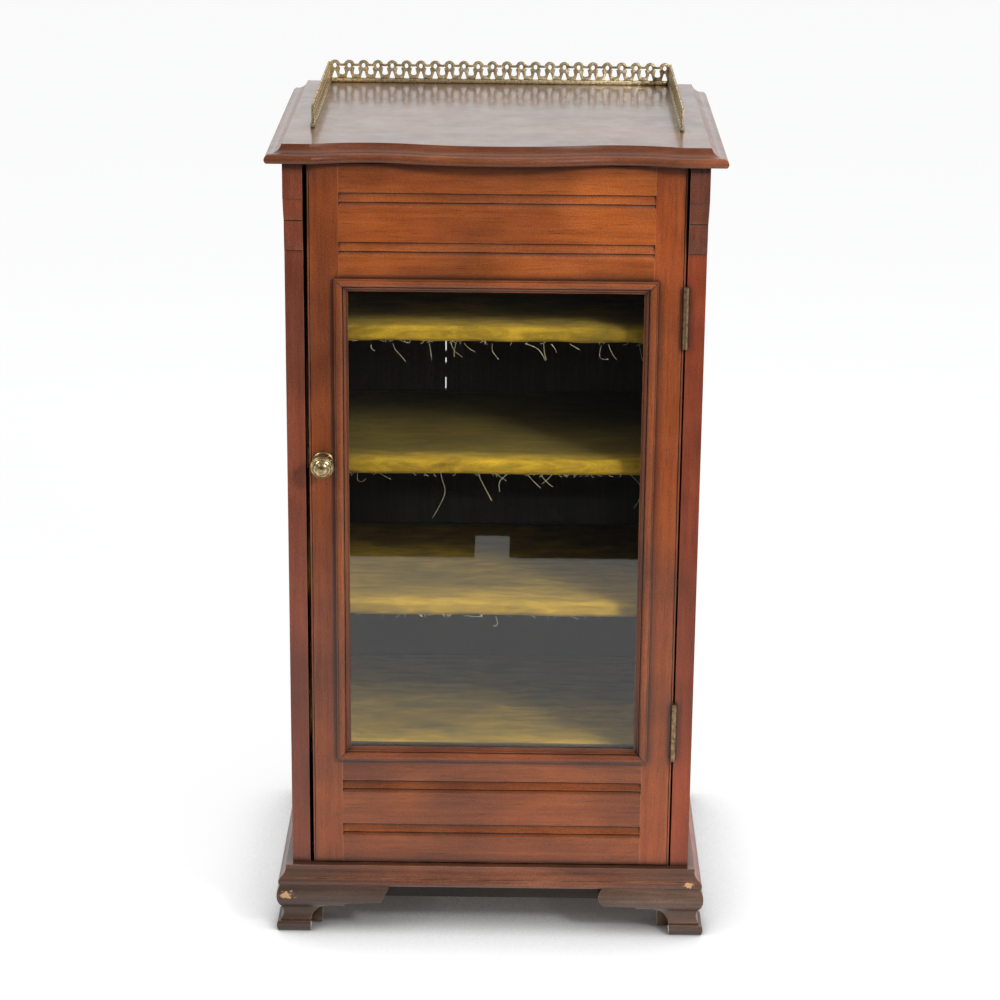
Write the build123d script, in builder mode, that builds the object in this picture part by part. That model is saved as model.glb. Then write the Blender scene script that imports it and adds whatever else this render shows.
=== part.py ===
"""Glazed mahogany music roll cabinet with a pierced brass gallery.

Frame: millimetres, +Z up, the front faces -Y, +X to the viewer's right.
The origin is on the ground at the middle of the cabinet's bounding box.
"""
from build123d import *
import math
import os

os.makedirs("parts", exist_ok=True)

# Carcase
carcase_width = 460.0
carcase_depth = 395.0
side_thick = 20.5
housing_depth = 5.0
board_thick = 16.0
shelf_thick = 13.0
top_rail_thick = 18.0
top_rail_depth = 60.0
bottom_rail_depth = 26.0
back_thick = 10.0
back_lap = 10.0
back_joint_gap = 1.6
back_joint_x = -62.6
back_joint_openings = ((544.0, 561.0), (577.5, 586.0), (593.0, 640.0))
back_board_width = 140.0
shelf_setback = 28.0
shelf_rear_gap = 77.0
shelf_rises = (126.0, 174.0, 169.0, 154.0)

# Velvet lining
velvet_thick = 1.8
velvet_tuck = 14.0
velvet_side_gap = 0.4

# Door
gap_latch = 4.0
gap_hinge = 2.0
gap_below = 2.0
gap_above = 2.5
stop_gap = 0.5
door_thick = 20.0
stile_width = 34.3
top_rail_height = 132.0
bottom_rail_height = 134.0
sight_height = 557.5
tenon_thick = 7.0
tenon_length = 24.0
tenon_shoulder = 14.0
bead_width = 2.3
quirk_width = 0.8
quirk_depth = 1.3

# Hollows across the door rails: a broad one over a narrow one, in two groups
hollow_heights = (10.0, 5.6)
hollow_depth = 2.0
hollow_lip = 0.7
hollow_groups = (31.5, 86.0)

# Glazing
moulding_lap = 5.2
moulding_reach = 9.8
moulding_seat = 5.0
fillet_width = 1.8
fillet_proud = 3.9
ovolo_start = (2.2, 5.1)
ovolo_crown = (5.0, 5.7)
ovolo_end = (9.2, 2.1)
quirk_floor = 0.3
bead_places = (9.6, 10.3, 11.0)
bead_proud = 1.2
hollow_middle = (11.5, -2.1)
hollow_end = 13.0
lip_depth = 3.0
glass_thick = 3.0
glass_margin = 1.5
bead_strip = 9.0
butt_gap = 0.3

# Top board with a serpentine front between straight ends
top_thick = 19.0
top_overhang_front = 20.5
top_overhang_side = 19.3
serpentine_end = 198.0
scoop_place = 135.0
scoop_depth = 11.0
bow_depth = 4.0
nosing_height = 8.9
nosing_round = 2.4
cove_start = 4.6
cove_step = 1.3
cove_run = 18.0

# Capital blocks at the head of the carcase's front edges
capital_heights = (40.0, 24.0, 34.0)
capital_proud = 5.6
capital_flare = 1.0
collar_proud = 4.5
collar_bulge = 1.0
collar_chamfer = 0.8
drop_quirk = 2.8
drop_proud = (4.2, 3.4, 1.4)
drop_lip = 2.0

# Plinth moulding and base frame
plinth_height = 23.0
plinth_proud = 16.4
plinth_ledge = 8.0
ledge_thick = 2.6
plinth_hollow = (9.2, 14.3)
plinth_nose = 8.5
nose_step = 2.4
nose_round = 1.5
nose_fillet = 1.2
base_rail_thick = 18.0
base_rail_height = 21.0
block_size = 30.0
block_lift = 2.0

# Bracket feet
foot_height = 57.0
foot_thick = 20.0
foot_shoulder = 1.5
foot_bulge = 2.0
foot_bulge_height = 44.5
foot_turn = 1.6
foot_turn_height = 32.0
foot_waist = 5.4
foot_waist_height = 22.0
toe_height = 12.5
toe_width = 37.5
toe_fillet = 2.4
toe_fillet_height = 1.2
toe_proud = 0.6
foot_arch_height = 31.5
arch_bend = (7.5, 26.0)
arch_length = 25.0
arch_flat = 13.0
foot_step = 3.0
step_length = 2.0
scroll_depth = 9.0
scroll_back = 4.0
break_lean = 9.0
foot_length_front = 120.0
foot_length_side = 105.0
foot_length_back = 62.0
foot_width_back = 37.0

# Brass gallery round the top
gallery_height = 27.0
gallery_thick = 2.4
gallery_pitch = 17.2
gallery_inset = 23.6
gallery_front_clear = 102.6
gallery_setback = 9.5
rail_height = 5.4
rail_thick = 4.6
rail_end = 3.0
ring_radius = 6.6
ring_facets = 14
eye_width = 4.6
eye_height = 6.3
eye_facets = 8
eye_band = 3.5
pinch_height = 3.2
link_top = 22.2
link_bottom = 19.7
keyhole_width_high = 1.9
keyhole_width_low = 7.0
bell_top = 7.3
bell_neck = 4.3
bell_low = 6.7
bell_shoulder = 2.0
bell_lip = 1.2
bell_waist = 3.2
bell_foot = 9.4

# Knob and turn catch
knob_from_edge = 15.5
knob_height = 486.0
knob_radius = 13.4
knob_reach = 26.0
rose_radius = 12.6
rose_thick = 2.6
rose_chamfer = 1.4
socket_floor = 8.0
spindle_radius = 3.0
running_gap = 0.1
tongue_length = 17.0
tongue_width = 9.0
tongue_thick = 2.4
collar_radius = 5.5
collar_thick = 2.4
seat_gap = 0.3
keeper_thick = 1.6
keeper_reach = 8.0
keeper_depth = 5.0
plate_half = 12.6
lug_half = 7.2

# Knob section from its seat outwards: reach and radius, as shares of the whole
knob_section = (
    (0.004, 0.39), (0.15, 0.39), (0.30, 0.33), (0.42, 0.49), (0.50, 0.86), (0.62, 1.0),
    (0.76, 0.97), (0.87, 0.80), (0.96, 0.45), (1.0, 0.0),
)

# Butt hinges
hinge_length = 70.0
hinge_inset = 167.0
leaf_thick = 1.8
leaf_width = 16.0
knuckle_radius = 3.0
knuckle_gap = 0.3
pin_hinge_radius = 1.4
knuckles = 5
leaf_gap = 0.2

# Levels and places that follow
half = carcase_width / 2
inner = half - side_thick
reach = max(knob_reach, top_overhang_front + bow_depth)
front = (reach - carcase_depth) / 2
rear = front + carcase_depth
back_face = rear - back_thick
carcase_bottom = foot_height
plinth_top = foot_height + plinth_height
door_bottom = plinth_top + gap_below
door_sill = door_bottom + bottom_rail_height
door_head = door_sill + sight_height
door_top = door_head + top_rail_height
carcase_top = door_top + gap_above
door_left = -inner + gap_latch
door_right = inner - gap_hinge
door_back = front + door_thick
stop_face = door_back + stop_gap
sight_left = door_left + stile_width
sight_right = door_right - stile_width
bottom_board_top = plinth_top + board_thick
shelf_rear = back_face - shelf_rear_gap
top_z = carcase_top + top_thick


def block(x, y, z, mode=Mode.ADD):
    """A board between two limits on each axis."""
    with Locations(((x[0] + x[1]) / 2, (y[0] + y[1]) / 2, (z[0] + z[1]) / 2)):
        Box(x[1] - x[0], y[1] - y[0], z[1] - z[0], mode=mode)


def span(a, b):
    """Two limits in rising order."""
    return (min(a, b), max(a, b))


def save(piece, name):
    """Label a finished piece and write it."""
    piece.part.label = name
    export_step(piece.part, f"parts/{name}.step")


# Gallery lines
gallery_back_y = rear - gallery_setback
gallery_back_units = round((carcase_width - 2 * gallery_inset) / gallery_pitch)
gallery_side_units = round((carcase_depth - gallery_front_clear) / gallery_pitch)
gallery_back_length = gallery_back_units * gallery_pitch
gallery_side_length = gallery_side_units * gallery_pitch
gallery_side_x = gallery_back_length / 2 - rail_thick / 2
gallery_side_rear = gallery_back_y - rail_thick / 2
gallery_side_y = gallery_side_rear - gallery_side_length / 2

# Shelf levels: the upper face of each velvet-covered shelf, from the lowest
shelf_tops = []
level = bottom_board_top
for rise in shelf_rises:
    level += rise
    shelf_tops.append(level)

# Hinge axis: in front of the door, in the middle of the gap
axis_x = door_right + gap_hinge / 2
axis_y = front - knuckle_radius
hinge_middles = {"upper": door_top - hinge_inset, "lower": door_bottom + hinge_inset}
knob_x = door_left + knob_from_edge
knob_z = door_bottom + knob_height
leaf_back = front + leaf_width


# Carcase sides, housed for the shelves and rebated for the back
for side, sign in (("left", -1), ("right", 1)):
    with BuildPart() as board:
        block(span(sign * inner, sign * half), (front, rear), (carcase_bottom, carcase_top))
        groove = span(sign * inner, sign * (inner + housing_depth))
        block(groove, (stop_face, back_face), (plinth_top, bottom_board_top), Mode.SUBTRACT)
        for shelf_top in shelf_tops:
            under = shelf_top - velvet_thick
            block(groove, (front + shelf_setback, shelf_rear), (under - shelf_thick, under), Mode.SUBTRACT)
        rebate = span(sign * inner, sign * (inner + back_lap))
        block(rebate, (back_face, rear), (carcase_bottom, carcase_top), Mode.SUBTRACT)
        if side == "right":
            for middle in hinge_middles.values():
                recess = (inner, axis_x + leaf_gap / 2 + leaf_thick)
                tall = (middle - hinge_length / 2, middle + hinge_length / 2)
                block(recess, (front, leaf_back), tall, Mode.SUBTRACT)
    save(board, f"side_{side}")

# Capital blocks: a plain block, a rounded collar and a drop that dies into the side
z1 = carcase_top - capital_heights[0]
z2 = z1 - capital_heights[1]
z3 = z2 - capital_heights[2]
for side, sign in (("left", -1), ("right", 1)):
    wide = half + capital_flare
    with BuildPart() as capital:
        with BuildSketch(Plane.YZ.offset(min(sign * inner, sign * wide))):
            with BuildLine():
                Polyline((front, z3), (front, carcase_top), (front - capital_proud, carcase_top),
                         (front - capital_proud, z1), (front - collar_proud, z1 - collar_chamfer))
                ThreePointArc((front - collar_proud, z1 - collar_chamfer),
                              (front - collar_proud - collar_bulge, (z1 + z2) / 2), (front - collar_proud, z2))
                Polyline((front - collar_proud, z2), (front - drop_quirk, z2),
                         (front - drop_proud[0], z2 - drop_lip))
                ThreePointArc((front - drop_proud[0], z2 - drop_lip), (front - drop_proud[1], (z2 + z3) / 2),
                              (front - drop_proud[2], z3))
                Line((front - drop_proud[2], z3), (front, z3))
            make_face()
        extrude(amount=side_thick + capital_flare)
        with BuildSketch(Plane.XZ.offset(-front)):
            with BuildLine():
                Polyline((sign * half, z3), (sign * half, z2), (sign * wide, z1), (sign * (wide + 1), z1),
                         (sign * (wide + 1), z3), close=True)
            make_face()
        extrude(amount=capital_proud, mode=Mode.SUBTRACT)
    save(capital, f"capital_block_{side}")

# Rails that join the sides at the head and the foot
with BuildPart() as head_rail_front:
    block((-inner, inner), (stop_face, stop_face + top_rail_depth), (carcase_top - top_rail_thick, carcase_top))
save(head_rail_front, "head_rail_front")

with BuildPart() as head_rail_rear:
    block((-inner, inner), (back_face - top_rail_depth, back_face), (carcase_top - top_rail_thick, carcase_top))
save(head_rail_rear, "head_rail_rear")

with BuildPart() as foot_rail:
    block((-inner, inner), (front, front + bottom_rail_depth), (carcase_bottom, plinth_top))
save(foot_rail, "foot_rail")

with BuildPart() as bottom_board:
    length = inner + housing_depth
    block((-length, length), (stop_face, back_face), (plinth_top, bottom_board_top))
save(bottom_board, "bottom_board")

# Shelves, let into the sides and stopping short of the back
for number, shelf_top in enumerate(shelf_tops, 1):
    with BuildPart() as shelf:
        length = inner + housing_depth
        under = shelf_top - velvet_thick
        block((-length, length), (front + shelf_setback, shelf_rear), (under - shelf_thick, under))
    save(shelf, f"shelf_{number}")

# Velvet: over the shelf, round its front edge and tucked beneath
for number, shelf_top in enumerate(shelf_tops, 1):
    with BuildPart() as velvet:
        edge = front + shelf_setback
        nose = edge - velvet_thick
        bottom = shelf_top - 2 * velvet_thick - shelf_thick
        with BuildSketch(Plane.YZ.offset(-inner + velvet_side_gap)):
            with BuildLine():
                Polyline((shelf_rear, shelf_top - velvet_thick), (shelf_rear, shelf_top), (edge, shelf_top))
                RadiusArc((edge, shelf_top), (nose, shelf_top - velvet_thick), -velvet_thick)
                Line((nose, shelf_top - velvet_thick), (nose, bottom + velvet_thick))
                RadiusArc((nose, bottom + velvet_thick), (edge, bottom), -velvet_thick)
                Polyline(
                    (edge, bottom), (edge + velvet_tuck, bottom), (edge + velvet_tuck, bottom + velvet_thick),
                    (edge, bottom + velvet_thick), (edge, shelf_top - velvet_thick),
                    (shelf_rear, shelf_top - velvet_thick),
                )
            make_face()
        extrude(amount=2 * (inner - velvet_side_gap))
    save(velvet, f"velvet_{number}")

# Back: three upright boards. One joint has shrunk open in a few places.
back_edges = (
    -inner - back_lap,
    back_joint_x,
    back_joint_x + back_board_width,
    inner + back_lap,
)
for number in (1, 2, 3):
    with BuildPart() as back_board:
        block(back_edges[number - 1:number + 1], (back_face, rear), (carcase_bottom, carcase_top))
        if number == 1:
            for opening in back_joint_openings:
                block((back_joint_x - back_joint_gap, back_joint_x), (back_face, rear), opening, Mode.SUBTRACT)
    save(back_board, f"back_board_{number}")


# Top board. Each hollow of the front is an arc through its deepest point, tangent
# to the arc of the middle bow.
scoop_radius = ((serpentine_end - scoop_place) ** 2 + scoop_depth**2) / (2 * scoop_depth)
swing = scoop_depth + bow_depth
bow_radius = (scoop_place**2 + swing**2) / (2 * swing) - scoop_radius
nose_line = front - top_overhang_front
nose_x = half + top_overhang_side
scoop_centre_y = nose_line + scoop_depth - scoop_radius
bow_centre_y = nose_line - bow_depth + bow_radius
turn = math.degrees(math.atan2(scoop_place, bow_centre_y - scoop_centre_y))
end_turn = math.degrees(math.asin((serpentine_end - scoop_place) / scoop_radius))
overrun = 3.0
clear_out = 40.0
cove_rise = top_thick - nosing_height - cove_step


def air_outline(place, inward):
    """The space outside the top's cove and nosing, whose outer line stands at place."""
    base = carcase_top
    diagonal = math.sqrt(0.5)
    middle = (cove_start + (cove_run - cove_start) * diagonal, top_thick - cove_rise * diagonal)

    def at(r, z):
        return (place + inward * r, base + z)

    with BuildSketch() as outline:
        with BuildLine():
            Line(at(-clear_out, 0), at(nosing_round, 0))
            ThreePointArc(at(nosing_round, 0), at(0, nosing_height / 2), at(nosing_round, nosing_height))
            Line(at(nosing_round, nosing_height), at(cove_start, nosing_height + cove_step))
            ThreePointArc(at(cove_start, nosing_height + cove_step), at(*middle), at(cove_run, top_thick))
            Polyline(at(cove_run, top_thick), at(cove_run, top_thick + 1), at(-clear_out, top_thick + 1))
            Line(at(-clear_out, top_thick + 1), at(-clear_out, 0))
        make_face()
    return outline.sketch


with BuildPart() as top_board:
    margin = 2.0
    block((-nose_x - margin, nose_x + margin), (nose_line - bow_depth - margin, rear), (carcase_top, top_z))
    for sign in (-1, 1):
        with BuildSketch(Plane.XZ.offset(-rear - margin)):
            add(air_outline(sign * nose_x, -sign))
        extrude(amount=carcase_depth + 2 * clear_out, mode=Mode.SUBTRACT)
        with BuildSketch(Plane.YZ.offset(scoop_place if sign > 0 else -nose_x - clear_out)):
            add(air_outline(nose_line, 1))
        extrude(amount=nose_x + clear_out - scoop_place, mode=Mode.SUBTRACT)
        first = 90 - (end_turn + overrun) if sign > 0 else 90 - turn
        centre = (sign * scoop_place, scoop_centre_y, 0)
        start = Plane(origin=centre, x_dir=(math.cos(math.radians(first)), math.sin(math.radians(first)), 0),
                      z_dir=(math.sin(math.radians(first)), -math.cos(math.radians(first)), 0))
        with BuildSketch(start):
            add(air_outline(scoop_radius, 1))
        revolve(axis=Axis(centre, (0, 0, 1)), revolution_arc=turn + end_turn + overrun, mode=Mode.SUBTRACT)
    centre = (0, bow_centre_y, 0)
    first = 270 - turn
    start = Plane(origin=centre, x_dir=(math.cos(math.radians(first)), math.sin(math.radians(first)), 0),
                  z_dir=(math.sin(math.radians(first)), -math.cos(math.radians(first)), 0))
    with BuildSketch(start):
        add(air_outline(bow_radius, -1))
    revolve(axis=Axis(centre, (0, 0, 1)), revolution_arc=2 * turn, mode=Mode.SUBTRACT)
save(top_board, "top_board")


# Brass gallery: one loop, repeated, over a rail. Each loop has an oval eye over a
# keyhole, and a bell-shaped opening parts it from the next.
eye_middle = gallery_height - eye_band - eye_height / 2
keyhole_top = eye_middle - eye_height / 2 - pinch_height

with BuildSketch() as keyhole:
    with BuildLine():
        Polyline(
            (-keyhole_width_low / 2, rail_height), (-keyhole_width_high / 2, keyhole_top),
            (keyhole_width_high / 2, keyhole_top), (keyhole_width_low / 2, rail_height), close=True,
        )
    make_face()

with BuildSketch() as bell:
    shoulder = link_bottom - bell_shoulder
    waist = bell_foot + bell_waist
    side_line = ((bell_top / 2, link_bottom), (bell_top / 2, shoulder), (bell_neck / 2, shoulder),
                 (bell_low / 2, waist), (bell_low / 2, bell_foot + bell_lip), (bell_low / 4, bell_foot))
    with BuildLine():
        Polyline(*side_line, *[(-x, z) for x, z in reversed(side_line)], close=True)
    make_face()

turns = [2 * math.pi * step / eye_facets for step in range(eye_facets)]
with BuildSketch() as eye:
    with Locations((0, eye_middle)):
        Polygon(*[(eye_width / 2 * math.sin(a), eye_height / 2 * math.cos(a)) for a in turns], align=None)


def gallery_strip(count):
    """Outline of a pierced strip, with its middle and its foot at zero."""
    with BuildSketch() as strip:
        with Locations((0, link_top / 2)):
            Rectangle(count * gallery_pitch, link_top)
        with GridLocations(gallery_pitch, 1, count, 1):
            with Locations((0, gallery_height - ring_radius)):
                RegularPolygon(ring_radius, ring_facets)
        with GridLocations(gallery_pitch, 1, count, 1):
            add(eye.sketch, mode=Mode.SUBTRACT)
        with GridLocations(gallery_pitch, 1, count, 1):
            add(keyhole.sketch, mode=Mode.SUBTRACT)
        with GridLocations(gallery_pitch, 1, count - 1, 1):
            add(bell.sketch, mode=Mode.SUBTRACT)
    return strip.sketch


with BuildPart() as gallery_back:
    with BuildSketch(Plane.XZ.offset(-gallery_back_y)):
        with Locations((0, top_z)):
            add(gallery_strip(gallery_back_units))
    extrude(amount=gallery_thick / 2, both=True)
    block((-gallery_back_length / 2, gallery_back_length / 2),
          (gallery_back_y - rail_thick / 2, gallery_back_y + rail_thick / 2), (top_z, top_z + rail_height))
save(gallery_back, "gallery_back")

side_strip = gallery_strip(gallery_side_units)
for side, sign in (("left", -1), ("right", 1)):
    with BuildPart() as gallery_side:
        with BuildSketch(Plane.YZ.offset(sign * gallery_side_x)):
            with Locations((gallery_side_y, top_z)):
                add(side_strip)
        extrude(amount=gallery_thick / 2, both=True)
        block((sign * gallery_side_x - rail_thick / 2, sign * gallery_side_x + rail_thick / 2),
              (gallery_side_rear - gallery_side_length - rail_end, gallery_side_rear),
              (top_z, top_z + rail_height))
    save(gallery_side, f"gallery_{side}")


# Door frame. Each stile has a small bead along its outer edge, and mortises for
# the rails' tenons.
tenon_front = front + (door_thick - tenon_thick) / 2
tenon_y = (tenon_front, tenon_front + tenon_thick)
head_tenon = (door_head + tenon_shoulder, door_top - tenon_shoulder)
foot_tenon = (door_bottom + tenon_shoulder, door_sill - tenon_shoulder)
for side, sign, edge, seat in (("left", -1, door_left, sight_left), ("right", 1, door_right, sight_right)):
    with BuildPart() as stile:
        quirk_start = edge - sign * bead_width
        quirk_end = quirk_start - sign * quirk_width
        with BuildSketch(Plane.XY.offset(door_bottom)):
            with BuildLine():
                Line((seat, front), (seat, door_back))
                Line((seat, door_back), (edge, door_back))
                Line((edge, door_back), (edge, front + bead_width / 2))
                ThreePointArc((edge, front + bead_width / 2), (edge - sign * bead_width / 2, front),
                              (quirk_start, front + bead_width / 2))
                Polyline((quirk_start, front + bead_width / 2), (quirk_start, front + quirk_depth),
                         (quirk_end, front + quirk_depth), (quirk_end, front), (seat, front))
            make_face()
        extrude(amount=door_top - door_bottom)
        for tenon in (head_tenon, foot_tenon):
            block(span(seat, seat + sign * tenon_length), tenon_y, tenon, Mode.SUBTRACT)
        if side == "left":
            with Locations(Location((knob_x, front, knob_z), (90, 0, 0))):
                Cylinder(spindle_radius + running_gap, 4 * door_thick, mode=Mode.SUBTRACT)
        else:
            for middle in hinge_middles.values():
                tall = (middle - hinge_length / 2, middle + hinge_length / 2)
                recess = (axis_x - leaf_gap / 2 - leaf_thick, door_right)
                block(recess, (front, leaf_back), tall, Mode.SUBTRACT)
    save(stile, f"door_stile_{side}")

# Door rails, with their tenons, and hollows worked across the face
rails = (
    ("head", door_head, door_top, head_tenon, door_top),
    ("foot", door_bottom, door_sill, foot_tenon, door_sill),
)
for name, low, high, tenon, datum in rails:
    with BuildPart() as rail:
        block((sight_left, sight_right), (front, door_back), (low, high))
        block((sight_left - tenon_length, sight_right + tenon_length), tenon_y, tenon)
        with BuildSketch(Plane.YZ.offset(sight_left)):
            for group in hollow_groups:
                upper = datum - group
                for height in hollow_heights:
                    lower = upper - height
                    with BuildLine():
                        Polyline((front, lower), (front - 1, lower), (front - 1, upper), (front, upper),
                                 (front + hollow_depth, upper - hollow_lip))
                        ThreePointArc((front + hollow_depth, upper - hollow_lip),
                                      (front + 0.6 * hollow_depth, upper - 0.55 * height), (front, lower))
                    make_face()
                    upper = lower
        extrude(amount=sight_right - sight_left, mode=Mode.SUBTRACT)
    save(rail, f"door_rail_{name}")


# Glazing moulding: laps the frame outside and seats against the glass inside
def moulding_outline(level, inward):
    """Section of the moulding across a rail or stile; level is the frame's sight edge."""

    def at(u, v):
        return (front - v, level + inward * u)

    lap = -moulding_lap
    bead_start, bead_middle, bead_end = [lap + place for place in bead_places]
    ovolo_foot = at(lap + ovolo_end[0], ovolo_end[1])
    with BuildSketch() as outline:
        with BuildLine():
            Polyline(at(moulding_reach, -moulding_seat), at(0, -moulding_seat), at(0, 0), at(lap, 0),
                     at(lap, fillet_proud), at(lap + fillet_width, fillet_proud),
                     at(lap + ovolo_start[0], ovolo_start[1]))
            ThreePointArc(at(lap + ovolo_start[0], ovolo_start[1]), at(lap + ovolo_crown[0], ovolo_crown[1]),
                          ovolo_foot)
            Polyline(ovolo_foot, at(lap + ovolo_end[0], quirk_floor), at(bead_start, quirk_floor))
            ThreePointArc(at(bead_start, quirk_floor), at(bead_middle, bead_proud), at(bead_end, quirk_floor))
            ThreePointArc(at(bead_end, quirk_floor), at(lap + hollow_middle[0], hollow_middle[1]),
                          at(lap + hollow_end, -lip_depth))
            Polyline(at(lap + hollow_end, -lip_depth), at(moulding_reach, -lip_depth),
                     at(moulding_reach, -moulding_seat))
        make_face()
    return outline.sketch


outer_left = sight_left - moulding_lap
outer_right = sight_right + moulding_lap
outer_foot = door_sill - moulding_lap
outer_head = door_head + moulding_lap
for name, level, inward, corner_z in (("head", door_head, -1, outer_head), ("foot", door_sill, 1, outer_foot)):
    with BuildPart() as moulding:
        with BuildSketch(Plane.YZ.offset(outer_left)):
            add(moulding_outline(level, inward))
        extrude(amount=outer_right - outer_left)
        split(bisect_by=Plane(origin=(outer_left, 0, corner_z), z_dir=(1, 0, -inward)), keep=Keep.TOP)
        split(bisect_by=Plane(origin=(outer_right, 0, corner_z), z_dir=(-1, 0, -inward)), keep=Keep.TOP)
    save(moulding, f"moulding_{name}")

# The upright section is the level one, turned: its first coordinate becomes X
uprights = (("left", sight_left, 1, outer_left), ("right", sight_right, -1, outer_right))
for side, level, inward, corner_x in uprights:
    with BuildPart() as moulding:
        with BuildSketch(Plane(origin=(0, 0, outer_foot), x_dir=(0, 1, 0), z_dir=(0, 0, -1))):
            add(moulding_outline(level, inward))
        extrude(amount=outer_foot - outer_head)
        split(bisect_by=Plane(origin=(corner_x, 0, outer_head), z_dir=(-inward, 0, -1)), keep=Keep.TOP)
        split(bisect_by=Plane(origin=(corner_x, 0, outer_foot), z_dir=(-inward, 0, 1)), keep=Keep.TOP)
    save(moulding, f"moulding_{side}")

# Glass and the square beads that hold it from behind
glass_front = front + moulding_seat
glass_back = glass_front + glass_thick
with BuildPart() as glass_pane:
    block((sight_left + glass_margin, sight_right - glass_margin), (glass_front, glass_back),
          (door_sill + glass_margin, door_head - glass_margin))
save(glass_pane, "glass_pane")

with BuildPart() as glazing_beads:
    bead_y = (glass_back, door_back)
    for level in (span(door_sill, door_sill + bead_strip), span(door_head - bead_strip, door_head)):
        block((sight_left, sight_right), bead_y, level)
    for place in (span(sight_left, sight_left + bead_strip), span(sight_right - bead_strip, sight_right)):
        block(place, bead_y, (door_sill + bead_strip + butt_gap, door_head - bead_strip - butt_gap))
save(glazing_beads, "glazing_beads")


# Turn catch: knob, spindle and tongue on one axis through the latch stile. It is
# stored released, with the tongue hanging; a quarter turn puts it behind the keeper.
knob_plane = Plane(origin=(knob_x, front, knob_z), x_dir=(1, 0, 0), z_dir=(0, -1, 0))
knob_axis = Axis((knob_x, front, knob_z), (0, -1, 0))
section = [(reach * knob_reach, radius * knob_radius) for reach, radius in knob_section]
socket_depth = knob_reach - socket_floor
with BuildPart() as knob_rose:
    with BuildSketch(knob_plane):
        Circle(rose_radius)
        Circle(section[0][1] + running_gap, mode=Mode.SUBTRACT)
    extrude(amount=rose_thick)
    rim = knob_rose.edges().filter_by(GeomType.CIRCLE).group_by(Axis.Y)[0].sort_by(SortBy.RADIUS)[-1]
    chamfer(rim, length=rose_chamfer)
save(knob_rose, "knob_rose")

with BuildPart() as knob:
    with BuildSketch(Plane(origin=(knob_x, front, knob_z), x_dir=(0, -1, 0), z_dir=(1, 0, 0))):
        with BuildLine():
            Polyline((section[0][0], 0), *section, close=True)
        make_face()
    revolve(axis=knob_axis)
    with BuildSketch(knob_plane):
        Circle(spindle_radius)
    extrude(amount=socket_depth, mode=Mode.SUBTRACT)
save(knob, "knob")

# The spindle carries a collar, and the tongue is a plate fitted on its end
behind = Plane(origin=(knob_x, door_back, knob_z), x_dir=(1, 0, 0), z_dir=(0, 1, 0))
tongue_front = seat_gap + collar_thick + running_gap
with BuildPart() as catch_spindle:
    with BuildSketch(behind.offset(-door_thick - socket_depth)):
        Circle(spindle_radius)
    extrude(amount=door_thick + socket_depth + tongue_front + tongue_thick)
    with BuildSketch(behind.offset(seat_gap)):
        Circle(collar_radius)
    extrude(amount=collar_thick)
    with BuildSketch(behind.offset(tongue_front)):
        with Locations((0, tongue_length / 2)):
            Rectangle(tongue_width, tongue_length)
        Circle(tongue_width / 2)
        Circle(spindle_radius + running_gap / 2, mode=Mode.SUBTRACT)
    extrude(amount=tongue_thick)
save(catch_spindle, "catch_spindle")

# Keeper: an angle plate on the carcase side, whose lug stands before the tongue
with BuildPart() as keeper:
    plate_y = (stop_face, stop_face + keeper_depth)
    lug_y = (stop_face, stop_face + keeper_thick)
    block((-inner, -inner + keeper_thick), plate_y, (knob_z - plate_half, knob_z + plate_half))
    block((-inner, -inner + keeper_reach), lug_y, (knob_z - lug_half, knob_z + lug_half))
save(keeper, "keeper")

# Butt hinges: two leaves each, with alternate knuckles on a pin
knuckle_pitch = hinge_length / knuckles
for place, middle in hinge_middles.items():
    foot = middle - hinge_length / 2
    for owner, sign, first in (("carcase", 1, 0), ("door", -1, 1)):
        with BuildPart() as leaf:
            plate = span(axis_x + sign * leaf_gap / 2, axis_x + sign * (leaf_gap / 2 + leaf_thick))
            block(plate, (axis_y, leaf_back), (foot, foot + hinge_length))
            for index in range(knuckles):
                start = foot + index * knuckle_pitch
                centre = (axis_x, axis_y, start + knuckle_pitch / 2)
                if index % 2 == first:
                    with Locations(centre):
                        Cylinder(knuckle_radius, knuckle_pitch - knuckle_gap)
                else:
                    with Locations(centre):
                        Cylinder(knuckle_radius + knuckle_gap, knuckle_pitch + knuckle_gap, mode=Mode.SUBTRACT)
            bore = pin_hinge_radius + (0 if owner == "carcase" else running_gap / 2)
            with Locations((axis_x, axis_y, middle)):
                Cylinder(bore, hinge_length + 2, mode=Mode.SUBTRACT)
        save(leaf, f"hinge_{place}_{owner}_leaf")

with BuildPart() as hinge_pins:
    for middle in hinge_middles.values():
        with Locations((axis_x, axis_y, middle)):
            Cylinder(pin_hinge_radius, hinge_length)
save(hinge_pins, "hinge_pins")


# Plinth moulding: a ledge, a hollow and a round nose, mitred at the front corners
def plinth_outline(face, outward):
    """Section of the plinth; face is the carcase's outer plane."""

    def at(out, z):
        return (face + outward * out, carcase_bottom + z)

    nose = plinth_nose
    step = plinth_proud - nose_step
    ledge = plinth_height - ledge_thick
    edge = plinth_proud - nose_round
    with BuildSketch() as outline:
        with BuildLine():
            Polyline(at(edge, 0), at(0, 0), at(0, plinth_height), at(plinth_ledge, plinth_height),
                     at(plinth_ledge, ledge))
            ThreePointArc(at(plinth_ledge, ledge), at(*plinth_hollow), at(step, nose + nose_fillet))
            Polyline(at(step, nose + nose_fillet), at(step, nose), at(edge, nose))
            ThreePointArc(at(edge, nose), at(plinth_proud, nose / 2), at(edge, 0))
        make_face()
    return outline.sketch


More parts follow.
